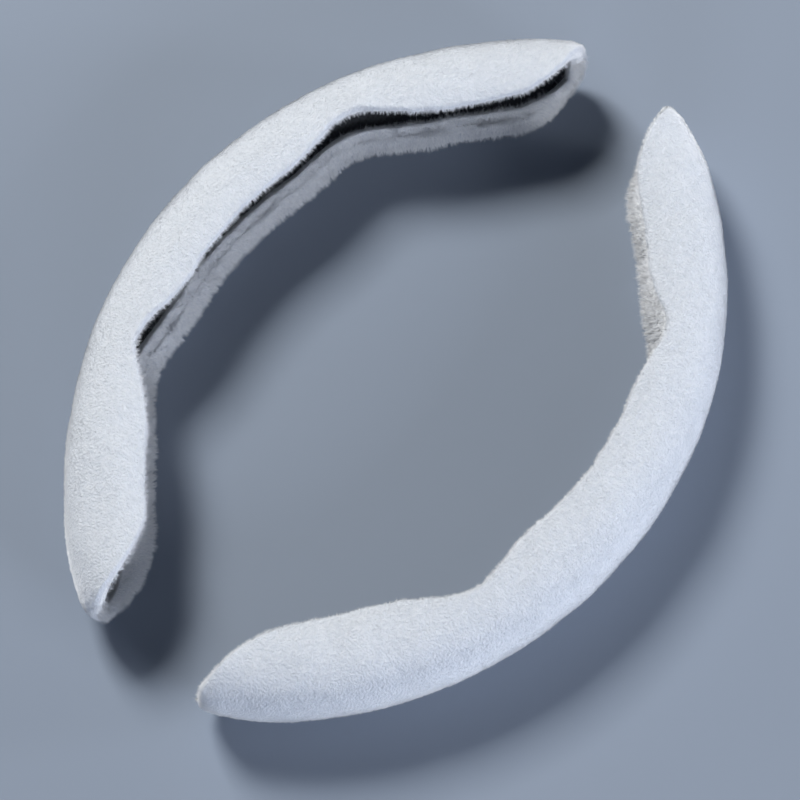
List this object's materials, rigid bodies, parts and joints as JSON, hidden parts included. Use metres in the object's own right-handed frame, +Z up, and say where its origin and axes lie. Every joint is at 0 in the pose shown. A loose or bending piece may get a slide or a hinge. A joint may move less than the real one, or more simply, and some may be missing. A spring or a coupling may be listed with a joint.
{
  "type": "split steering wheel cover",
  "caption": "Split steering wheel cover: short-plush channels curved to the wheel rim, with turned-in hems, spoke notches and a dark grip liner inside.",
  "frame": {"origin": "on the table, under the middle of the pair's box", "axes": "+X from the left half's back to the right half's back, +Y along the halves, +Z up from the table"},
  "size_m": [0.2424, 0.3282, 0.043],
  "materials": {
    "plush": "short white plush pile",
    "grip_liner": "matt grip mesh"
  },
  "bodies": {
    "root": {"left_plush_cover": "plush", "left_grip_liner": "grip_liner", "right_plush_cover": "plush", "right_grip_liner": "grip_liner"}
  },
  "joints": []
}
